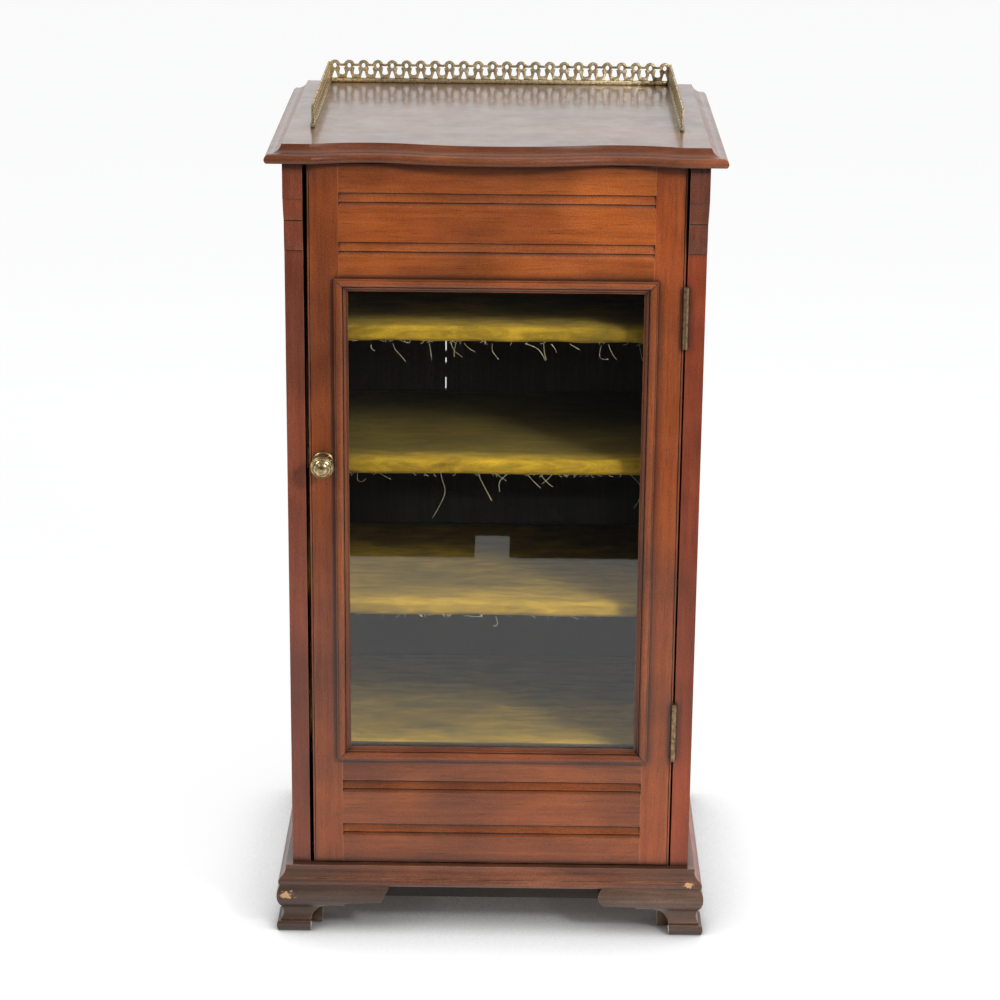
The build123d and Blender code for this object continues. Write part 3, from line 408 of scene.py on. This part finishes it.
finishes = {
    "stile": wood("polished mahogany, upright", Z, door_shades, seed=0.3),
    # Painted lamp light: the hinge stile's finish is a lighter copy of the door stile's.
    "stile_hinge_lit": wood("polished mahogany, hinge stile, lamp-lit copy", Z, hinge_stile_lit_shades, seed=0.9),
    # Painted lamp light: the right side's finish is a lighter copy of the left side's.
    "side_right": wood("dark mahogany, right side, lamp-lit copy", Z, right_side_lit_shades, film=0.24, polish=0.4, seed=2.6,
                       inner_face=inner_plane),
    "capital_right": wood("dark mahogany, right capital", Z, right_capital_shades, film=0.24, wear_and_highlight=0.7, seed=4.6),
    "rail": wood("figured mahogany, level", X, rail_shades, figure=13.0, dirt_and_shade=1.0, seed=1.1),
    "rail_low": wood("figured mahogany, level, lower", X, rail_low_shades, figure=13.0, dirt_and_shade=1.0, seed=2.9),
    "moulding_x": wood("moulded mahogany, level", X, door_shades, film=0.22, seed=0.8, mitre=mitre_lines),
    "moulding_z": wood("moulded mahogany, upright", Z, door_shades, film=0.22, seed=1.8, mitre=mitre_lines),
    "side": wood("dark mahogany, upright", Z, side_shades, film=0.24, seed=2.2, inner_face=inner_plane),
    "capital": wood("dark mahogany, capital", Z, side_shades, film=0.24, wear_and_highlight=0.7, seed=4.2),
    "top": wood("worn polished top", X, top_shades, film=0.12, base_rough=0.36, polish=0.48, pore=0.3, wear_and_highlight=0.25,
                seed=3.3, edges=top_edge_shades, joint=(0.2, 0.119)),
    "plinth_x": wood("base mahogany, level", X, base_shades, film=0.26, wear_and_highlight=0.9, seed=5.0, grey_ends=0.65,
                     chips=[((0.231, -0.2000, 0.0635), 0.0060)]),
    "plinth_y": wood("base mahogany, front to back", Y, base_shades, film=0.26, wear_and_highlight=0.8, seed=5.6),
    "foot_x": wood("scuffed foot, level", X, foot_shades, polish=0.5, film=0.35, wear_and_highlight=0.9, seed=6.1,
                   chips=[((-0.236, -0.2010, 0.0455), 0.0090)]),
    "foot_y": wood("scuffed foot, front to back", Y, foot_shades, polish=0.5, film=0.35, wear_and_highlight=0.9, seed=6.6),
    "inner_x": wood("stained shelf wood", X, inner_shades, polish=0.1, base_rough=0.7, wear_and_highlight=0.0, dirt_and_shade=0.0,
                    seed=7.0),
    "inner_z": wood("stained back board", Z, inner_shades, polish=0.1, base_rough=0.7, wear_and_highlight=0.0, dirt_and_shade=0.0,
                    seed=7.7),
    "deal_x": wood("raw base wood, level", X, deal_shades, polish=0.0, base_rough=0.75, wear_and_highlight=0.3, seed=8.1),
    "deal_y": wood("raw base wood, front to back", Y, deal_shades, polish=0.0, base_rough=0.75, wear_and_highlight=0.3, seed=8.8),
}
print("wood finishes:", len(finishes))

# %% [markdown]
# ## Brass and steel
#
# Old brass is not one colour. Rubbed high places stay bright and the rest goes
# brown, so the colour and the roughness both follow the same blotches and the
# darkening in the corners, which is partly dirt and partly painted shade. Each
# hinge has screw heads drawn on its leaves, their slots and rims dark with
# painted shade, and the gallery has a dark line of painted shade along each edge.

# %% Metal finishes
# Painted shade: the dark of a screw's slot and rim, and the dark line along the gallery's edges.
screw_slot_shade, edge_shade = (0.03, 0.02, 0.015), (0.035, 0.028, 0.022)
screw_steel = (0.36, 0.34, 0.30)
screw_radius, screw_rim, half_slot = 0.0030, 0.0026, 0.0004
screw_pitch = 0.0252


# screws: the Y of their row, the Z of the middle one and the step between them.
# outline: how wide the dark line of painted shade along each edge is.
def metal(name, bright, brown, rough=(0.22, 0.5), tarnish=0.5, scale=160.0, dirt_and_shade=0.8, screws=None, outline=0.0,
          rugged=0.12):
    material, tree = start(name)
    everywhere = object_place(tree)
    blotch = noise(tree, everywhere, scale, 5.0, 0.6)
    aged = ramp(tree, blotch, [(0.62 - 0.3 * tarnish, grey(0.0)), (0.86 - 0.3 * tarnish, grey(1.0))])
    colour = blend(tree, aged, bright, brown)
    # Painted shade with some dirt: darker brown in the corners, from nearness to another surface.
    grime_and_shade = reckon(tree, "MULTIPLY", closeness(tree, 0.003, 4, 0.3, 0.9), dirt_and_shade)
    colour = blend(tree, grime_and_shade, colour, scaled(brown, 0.16))
    # A dark line of painted shade along every edge.
    if outline:
        black_line = ramp(tree, flatness(tree, outline, "True Normal"), [(0.92, grey(0.95)), (0.995, grey(0.0))])
        colour = blend(tree, black_line, colour, edge_shade)
    if screws:
        depth, middle, pitch = screws
        at = split(tree, everywhere)
        off = reckon(tree, "SUBTRACT", at["Z"], middle - 1.5 * pitch)
        up = reckon(tree, "SUBTRACT", reckon(tree, "MODULO", off, pitch), 0.5 * pitch)
        along = reckon(tree, "SUBTRACT", at["Y"], depth)
        away = length(tree, add(tree, "ShaderNodeCombineXYZ", {0: up, 1: along}).outputs[0])
        head = reckon(tree, "LESS_THAN", away, screw_radius)
        rim = reckon(tree, "MULTIPLY", head, reckon(tree, "GREATER_THAN", away, screw_rim))
        bar = reckon(tree, "ABSOLUTE", reckon(tree, "ADD", up, reckon(tree, "MULTIPLY", along, 0.6)))
        cut = reckon(tree, "MULTIPLY", head, reckon(tree, "LESS_THAN", bar, half_slot))
        # Screw heads in steel; the rim and slot are dark with painted shade.
        colour = blend(tree, head, colour, screw_steel)
        colour = blend(tree, reckon(tree, "MAXIMUM", rim, cut), colour, screw_slot_shade)
    dull = ramp(tree, reckon(tree, "MAXIMUM", aged, grime_and_shade), [(0.0, grey(rough[0])), (1.0, grey(rough[1]))])
    pits = noise(tree, everywhere, scale * 6, 3.0, 0.5)
    bump = add(tree, "ShaderNodeBump", {"Height": pits, "Strength": rugged, "Distance": 0.0002}).outputs[0]
    shader = add(tree, "ShaderNodeBsdfPrincipled", {
        "Base Color": colour, "Roughness": dull, "Metallic": 1.0, "Normal": bump,
    })
    surface(tree, shader.outputs[0])
    return material


finishes["gallery"] = metal("aged gallery brass", (0.95, 0.76, 0.44), (0.20, 0.135, 0.07), (0.34, 0.55), 0.55,
                            420.0, dirt_and_shade=1.0, outline=0.0011, rugged=0.5)
finishes["knob"] = metal("rubbed knob brass", (0.68, 0.53, 0.28), (0.24, 0.16, 0.07), (0.24, 0.5), 0.6, 260.0)
hinge_look = ((0.42, 0.30, 0.17), (0.20, 0.11, 0.06), (0.35, 0.6), 0.7, 220.0)
finishes["hinge"] = metal("brown hinge brass", *hinge_look)
for place in ("upper", "lower"):
    low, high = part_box(f"hinge_{place}_door_leaf")
    screw_row = (high[1] - 0.008, (low[2] + high[2]) / 2, screw_pitch)
    finishes["hinge_" + place] = metal(f"brown hinge brass, {place}, with screws", *hinge_look, screws=screw_row)
finishes["steel"] = metal("dull steel", (0.50, 0.49, 0.47), (0.22, 0.17, 0.13), (0.3, 0.55), 0.4, 300.0)

# %% [markdown]
# ## Glass
#
# Real glass bends light, and a renderer finds it hard to send lamplight through
# it. The usual way round is to let the rays that carry light from the lamps pass
# straight on, tinted a little, while the eye still sees true glass.

# %% Glass finish
material, tree = start("old sheet glass")
clear = add(tree, "ShaderNodeBsdfPrincipled", {
    "Base Color": (0.93, 0.955, 0.94, 1.0), "Roughness": 0.0, "IOR": 1.5, "Transmission Weight": 1.0,
}).outputs[0]
veil = add(tree, "ShaderNodeBsdfTransparent", {"Color": (0.86, 0.89, 0.87, 1.0)}).outputs[0]
lamp_rays = add(tree, "ShaderNodeLightPath").outputs["Is Shadow Ray"]
surface(tree, add(tree, "ShaderNodeMixShader", {0: lamp_rays, 1: clear, 2: veil}).outputs[0])
finishes["glass"] = material

# %% [markdown]
# ## Velvet
#
# Gold velvet has a short pile that leans one way or another as it is stroked, so
# it shows streaks of light and dark, and it goes brown and thin where it wears.
# The flat part behind the front roll is darkened as painted shade from the shelf
# above, most of all on the second shelf down.

# %% Velvet finish
# The shelf whose velvet flat takes the most painted shade, and how far that reaches.
shaded_shelf_height, shaded_shelf_reach = 0.565, 0.05
shelf_shade_brown = (0.034, 0.024, 0.005)

material, tree = start("faded gold velvet")
across_pile = stretched(tree, (0.28, 1.0, 1.0))
lean = noise(tree, across_pile, 75.0, 6.0, 0.68, 0.6)
patches = noise(tree, stretched(tree, (0.6, 1.0, 1.0), (3.0, 1.0, 2.0)), 11.0, 4.0, 0.6, 0.4)
nap = noise(tree, stretched(tree, (1.0, 1.0, 1.0)), 1500.0, 2.0, 0.7)
tone = reckon(tree, "ADD", reckon(tree, "MULTIPLY", lean, 0.55), reckon(tree, "MULTIPLY", patches, 0.45))
colour = ramp(tree, tone, [(0.32, (0.12, 0.072, 0.009)), (0.48, (0.31, 0.174, 0.010)),
                           (0.66, (0.66, 0.370, 0.022))])
colour = blend(tree, ramp(tree, nap, [(0.40, grey(0.0)), (0.62, grey(0.5))]), colour, (0.10, 0.07, 0.015))
at = split(tree, object_place(tree))
# Painted shade: the flat behind the front roll is darkened, most of all on the second shelf down.
depth_in = reckon(tree, "ADD", at["Y"], reckon(tree, "MULTIPLY", reckon(tree, "SUBTRACT", patches, 0.5), 0.10))
shelf_shade = ramp(tree, reckon(tree, "ADD", depth_in, 0.5), [(0.350, grey(0.0)), (0.380, grey(1.0))])
from_shaded_shelf = reckon(tree, "ABSOLUTE", reckon(tree, "SUBTRACT", at["Z"], shaded_shelf_height))
most_shaded = reckon(tree, "LESS_THAN", from_shaded_shelf, shaded_shelf_reach)
shelf_shade = reckon(tree, "MULTIPLY", shelf_shade, reckon(tree, "ADD", reckon(tree, "MULTIPLY", most_shaded, 0.58), 0.20))
colour = blend(tree, shelf_shade, colour, shelf_shade_brown)
bump = add(tree, "ShaderNodeBump", {"Height": nap, "Strength": 0.5, "Distance": 0.0006}).outputs[0]
shader = add(tree, "ShaderNodeBsdfPrincipled", {
    "Base Color": colour, "Roughness": 0.88, "Normal": bump, "Sheen Weight": 0.12, "Sheen Roughness": 0.35,
    "Sheen Tint": (0.95, 0.83, 0.42, 1.0), "Specular IOR Level": 0.15,
})
surface(tree, shader.outputs[0])
finishes["velvet"] = material

# %% [markdown]
# ## Each piece gets its finish
#
# The name of a solid says what it is, so its finish is chosen by name.

# %% Choose finishes
by_name = {
    "side_left": "side", "side_right": "side_right", "capital_block_left": "capital",
    "capital_block_right": "capital_right",
    "top_board": "top", "door_stile_left": "stile", "door_stile_right": "stile_hinge_lit", "door_rail_head": "rail",
    "door_rail_foot": "rail_low", "moulding_head": "moulding_x", "moulding_foot": "moulding_x",
    "moulding_left": "moulding_z", "moulding_right": "moulding_z", "plinth_front": "plinth_x",
    "plinth_left": "plinth_y", "plinth_right": "plinth_y", "foot_front_left": "foot_x",
    "foot_front_right": "foot_x", "foot_side_front_left": "foot_y", "foot_side_front_right": "foot_y",
    "foot_side_rear_left": "foot_y", "foot_side_rear_right": "foot_y", "head_rail_front": "inner_x",
    "head_rail_rear": "inner_x", "foot_rail": "inner_x", "bottom_board": "inner_x", "base_rail_front": "inner_x",
    "base_rail_back": "deal_x", "base_rail_left": "deal_y", "base_rail_right": "deal_y", "foot_backs": "deal_x",
    "corner_blocks": "deal_y", "glazing_beads": "inner_z", "glass_pane": "glass", "knob": "knob",
    "knob_rose": "knob", "catch_spindle": "steel", "keeper": "hinge", "hinge_pins": "hinge",
    "gallery_back": "gallery", "gallery_left": "gallery", "gallery_right": "gallery",
}
for name, node in nodes.items():
    if name in by_name:
        chosen = by_name[name]
    elif name.startswith("shelf"):
        chosen = "inner_x"
    elif name.startswith("back_board"):
        chosen = "inner_z"
    elif name.startswith("velvet"):
        chosen = "velvet"
    elif name.startswith("hinge"):
        chosen = "hinge_upper" if "upper" in name else "hinge_lower"
    else:
        raise ValueError(name)
    for slot in node.material_slots:
        slot.material = finishes[chosen]
print("finished solids:", len(nodes))

# %% [markdown]
# ## Cast and turned brass
#
# The solid gallery is a flat pierced strip with sharp edges, and the real one is
# cast, with every edge softened. A copy of each strip has its loose triangles
# merged and its flat faces joined, and then every sharp edge is bevelled. The
# knob is turned on a lathe, so it starts as a disc that is drawn out ring by ring.

# %% Round the edges of a copy


def only(piece):
    bpy.ops.object.select_all(action="DESELECT")
    piece.select_set(True)
    bpy.context.view_layer.objects.active = piece


def rounded_copy(name, width, segments=2):
    piece = bpy.data.objects.new(name + "_cast", nodes[name].data.copy())
    bpy.context.collection.objects.link(piece)
    only(piece)
    bpy.ops.object.mode_set(mode="EDIT")
    bpy.ops.mesh.select_all(action="SELECT")
    bpy.ops.mesh.remove_doubles(threshold=0.000002)
    bpy.ops.mesh.dissolve_limited(angle_limit=math.radians(1.0))
    bpy.ops.object.mode_set(mode="OBJECT")
    softened = piece.modifiers.new("softened", "BEVEL")
    softened.width = width
    softened.segments = segments
    softened.limit_method = "ANGLE"
    softened.angle_limit = math.radians(32)
    bpy.ops.object.modifier_apply(modifier="softened")
    bpy.ops.object.shade_smooth_by_angle(angle=math.radians(50))
    return piece


for name in ("gallery_back", "gallery_left", "gallery_right"):
    strip = rounded_copy(name, 0.00045)
    strip.data.materials.clear()
    strip.data.materials.append(finishes["gallery"])
    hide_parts(name)
    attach(strip, "carcase")
    print(strip.name, len(strip.data.polygons), "faces")

# %% Draw a turned piece out of a disc, ring by ring


def turned(name, middle, rings, sides=56):
    x, y, z = middle
    reach, radius = rings[0]
    bpy.ops.object.select_all(action="DESELECT")
    bpy.ops.mesh.primitive_circle_add(vertices=sides, radius=radius, fill_type="NGON",
                                      location=(x, y - reach, z), rotation=(math.pi / 2, 0, 0))
    piece = bpy.context.object
    piece.name = name
    bpy.ops.object.transform_apply(location=True, rotation=True, scale=True)
    bpy.ops.object.mode_set(mode="EDIT")
    bpy.ops.mesh.select_all(action="SELECT")
    for next_reach, next_radius in rings[1:]:
        bpy.ops.mesh.extrude_region_move(TRANSFORM_OT_translate={"value": (0, reach - next_reach, 0)})
        share = next_radius / radius
        bpy.ops.transform.resize(value=(share, 1, share), center_override=(x, y - next_reach, z))
        reach, radius = next_reach, next_radius
    bpy.ops.mesh.select_all(action="DESELECT")
    bpy.ops.mesh.select_mode(type="EDGE")
    bpy.ops.mesh.select_non_manifold()
    bpy.ops.mesh.edge_face_add()
    bpy.ops.mesh.select_all(action="SELECT")
    bpy.ops.mesh.normals_make_consistent(inside=False)
    bpy.ops.object.mode_set(mode="OBJECT")
    bpy.ops.object.shade_smooth_by_angle(angle=math.radians(35))
    return piece


low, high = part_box("knob")
centre = ((low[0] + high[0]) / 2, high[1], (low[2] + high[2]) / 2)
full = (high[0] - low[0]) / 2
long = high[1] - low[1]
shares = [(0.0, 0.39), (0.13, 0.39), (0.15, 0.37), (0.22, 0.335), (0.30, 0.33), (0.37, 0.40), (0.42, 0.50),
          (0.46, 0.68), (0.50, 0.84), (0.55, 0.94), (0.60, 0.985), (0.67, 1.0), (0.74, 0.985), (0.79, 0.94),
          (0.84, 0.87), (0.875, 0.80), (0.865, 0.74), (0.87, 0.69), (0.90, 0.63), (0.93, 0.57), (0.915, 0.51),
          (0.92, 0.46), (0.95, 0.39), (0.98, 0.28), (0.995, 0.14), (0.998, 0.04)]
knob = turned("knob_turned", centre, [(reach * long, radius * full) for reach, radius in shares])
knob.data.materials.append(finishes["knob"])
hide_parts("knob")
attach(knob, "catch")

# %% Nails in the back boards
nail_inset = 0.012
nail_rings = [(0.0006, 0.0026), (-0.0002, 0.0026), (-0.0005, 0.0020)]
heads = []
back_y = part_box("back_board_1")[1][1]
for board in (1, 2, 3):
    low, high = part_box(f"back_board_{board}")
    for x in (low[0] + nail_inset, high[0] - nail_inset):
        for level_share in (0.02, 0.20, 0.40, 0.60, 0.80, 0.98):
            z = low[2] + level_share * (high[2] - low[2])
            heads.append(turned("nail", (x, back_y + 0.0002, z), nail_rings, 10))
only(heads[0])
for head in heads[1:]:
    head.select_set(True)
bpy.ops.object.join()
nails = bpy.context.object
nails.name = "back_nails"
nails.data.materials.append(finishes["steel"])
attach(nails, "carcase")
print("nails:", len(heads))

# %% [markdown]
# ## Velvet linings
#
# Each shelf has one piece of velvet laid over it, rolled round the front edge and
# glued beneath. It is pulled flat but not perfectly: the front roll swells and
# sags a little along its length, and the cut edge underneath has frayed into
# hanging threads. The cloth is a fine grid bent along the shelf's outline, with
# small swells from smooth random waves, and then it is given its thickness.

# %% Make one lining
flat_steps, bend_steps, hem_steps = 26, 6, 5
side_gap, curl, hem = 0.0045, 0.0050, 0.0135
cloth_thickness = 0.0015
waves = random.Random(11)


def smooth_wave(count):
    parts = [(waves.uniform(2.0, 16.0), waves.uniform(0, 6.28), waves.uniform(0.3, 1.0)) for _ in range(count)]
    total = sum(part[2] for part in parts)
    return lambda t: sum(size * math.sin(speed * t + phase) for speed, phase, size in parts) / total


def velvet_lining(number):
    low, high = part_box(f"velvet_{number}")
    across_steps = 150
    swell, sag, ripple = smooth_wave(5), smooth_wave(4), smooth_wave(7)
    top, under, nose_y, rear_y = high[2], low[2], low[1], high[1]
    flat_length = rear_y - nose_y - curl
    outline = [(rear_y - flat_length * step / flat_steps, top, 0.0) for step in range(flat_steps)]
    for step in range(bend_steps + 1):
        angle = math.pi / 2 * step / bend_steps
        ahead, up = curl * math.sin(angle), curl * math.cos(angle)
        outline.append((nose_y + curl - ahead, top - curl + up, 0.6))
    outline.append((nose_y, (top + under) / 2, 1.0))
    for step in range(hem_steps + 1):
        angle = math.pi / 2 * step / hem_steps
        ahead, down = curl * math.cos(angle), curl * math.sin(angle)
        outline.append((nose_y + curl - ahead, under + curl - down, 1.0))
    outline += [(nose_y + curl + 0.003, under, 0.5), (nose_y + hem, under, 0.0)]
    bpy.ops.object.select_all(action="DESELECT")
    bpy.ops.mesh.primitive_grid_add(x_subdivisions=across_steps, y_subdivisions=len(outline) - 1, size=1.0)
    piece = bpy.context.object
    piece.name = f"velvet_cloth_{number}"
    for vertex in piece.data.vertices:
        t = vertex.co.x + 0.5
        place, level_z, free = outline[round((vertex.co.y + 0.5) * (len(outline) - 1))]
        fine = 0.00022 * ripple(18 * t + 40 * place) * (1 if level_z > under + 0.001 else 0)
        drop = free * (0.0009 + 0.0009 * sag(3 * t)) * (top - level_z) / (top - under)
        x = low[0] + side_gap + t * (high[0] - low[0] - 2 * side_gap)
        vertex.co = (x, place - free * 0.0005 * swell(6 * t), level_z - drop + min(fine, 0.0))
    only(piece)
    bpy.ops.object.mode_set(mode="EDIT")
    bpy.ops.mesh.select_all(action="SELECT")
    bpy.ops.mesh.normals_make_consistent(inside=False)
    bpy.ops.object.mode_set(mode="OBJECT")
    middle_face = min(piece.data.polygons, key=lambda face: (face.center - Vector((0, 0, top))).length)
    if middle_face.normal.z < 0:
        piece.data.flip_normals()
    thick = piece.modifiers.new("thickness", "SOLIDIFY")
    thick.thickness = cloth_thickness
    thick.offset = -1.0
    bpy.ops.object.modifier_apply(modifier="thickness")
    bpy.ops.object.shade_smooth()
    piece.data.materials.append(finishes["velvet"])
    return piece


# %% [markdown]
# ### Frayed threads
#
# A thread is a thin round curve. Each one starts at the hem under the front of a
# shelf and curls as it falls. The long ones follow the picture, and short wisps
# between them are scattered with a fixed seed.

# %% Thread finish and threads
thread_radius = 0.00026
wisps_per_shelf = 34

material, tree = start("frayed thread")
shade = ramp(tree, noise(tree, object_place(tree), 300.0, 3.0),
             [(0.3, (0.20, 0.16, 0.08)), (0.7, (0.55, 0.48, 0.30))])
shader = add(tree, "ShaderNodeBsdfPrincipled", {"Base Color": shade, "Roughness": 0.8, "Sheen Weight": 0.4})
surface(tree, shader.outputs[0])
finishes["thread"] = material

long_threads = {
    4: [[(-137, 697), (-139, 692), (-133, 690)], [(-113, 699), (-112, 692), (-106, 687), (-99, 678)],
        [(-73, 699), (-71, 689), (-70, 680)], [(-49, 700), (-46, 692), (-42, 688), (-36, 684)],
        [(-43, 700), (-46, 692), (-45, 684)], [(-34, 700), (-30, 694), (-22, 690)],
        [(-3, 700), (-4, 692), (0, 687), (4, 682)], [(33, 700), (44, 697), (52, 690), (56, 681)],
        [(54, 700), (54, 691), (57, 682)], [(62, 700), (67, 696), (68, 690)], [(83, 700), (88, 697), (94, 694)],
        [(118, 699), (115, 690), (118, 682), (126, 683)], [(126, 700), (128, 691), (135, 683)],
        [(160, 700), (161, 692), (164, 682)]],
    3: [[(-153, 548), (-155, 540), (-148, 536), (-144, 541)], [(-128, 548), (-122, 544), (-116, 541)],
        [(-60, 549), (-58, 540), (-54, 529), (-57, 517), (-69, 495)], [(-18, 549), (-12, 536), (-2, 517)],
        [(1, 549), (8, 545), (14, 541)], [(16, 549), (8, 543), (5, 535), (7, 528)],
        [(37, 549), (44, 540), (53, 532)], [(52, 549), (57, 541), (66, 534)], [(66, 549), (60, 541), (54, 537)],
        [(153, 550), (164, 540), (167, 530), (164, 519), (158, 510)]],
    2: [[(-30, 379), (-22, 376), (-14, 378)], [(3, 378), (6, 372), (5, 365), (1, 366)], [(90, 379), (98, 376)]],
    1: [[(-60, 205), (-52, 202)], [(40, 205), (47, 201), (45, 198)]],
}
scatter = random.Random(5)


def fray(number):
    low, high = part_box(f"velvet_{number}")
    lines = [[(x * MM, z * MM) for x, z in line] for line in long_threads[number]]
    for _ in range(wisps_per_shelf):
        x = scatter.uniform(low[0] + 0.02, high[0] - 0.02)
        fall = scatter.uniform(0.001, 0.004)
        lines.append([(x, low[2] + 0.0004), (x + scatter.uniform(-0.002, 0.002), low[2] - 0.5 * fall),
                      (x + scatter.uniform(-0.005, 0.005), low[2] - fall)])
    data = bpy.data.curves.new(f"threads_{number}", "CURVE")
    data.dimensions = "3D"
    data.bevel_depth = thread_radius
    data.bevel_resolution = 1
    data.use_fill_caps = True
    for line in lines:
        spline = data.splines.new("NURBS")
        spline.points.add(len(line) - 1)
        for index, (x, z) in enumerate(line):
            y = low[1] + 0.0012 + 0.0012 * math.sin(9 * index + 400 * x)
            spline.points[index].co = (x, y, z, 1.0)
        spline.order_u = 3
        spline.use_endpoint_u = True
        spline.resolution_u = 5
    piece = bpy.data.objects.new(f"threads_{number}", data)
    bpy.context.collection.objects.link(piece)
    only(piece)
    bpy.ops.object.convert(target="MESH")
    piece = bpy.context.object
    piece.data.materials.clear()
    piece.data.materials.append(finishes["thread"])
    bpy.ops.object.shade_smooth()
    return piece


for number in (1, 2, 3, 4):
    cloth = velvet_lining(number)
    threads = fray(number)
    low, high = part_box(f"velvet_{number}")
    for piece in (cloth, threads):
        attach(piece, "carcase")
    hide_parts(f"velvet_{number}")
    print(cloth.name, len(cloth.data.polygons), "faces,", len(threads.data.polygons), "in threads")
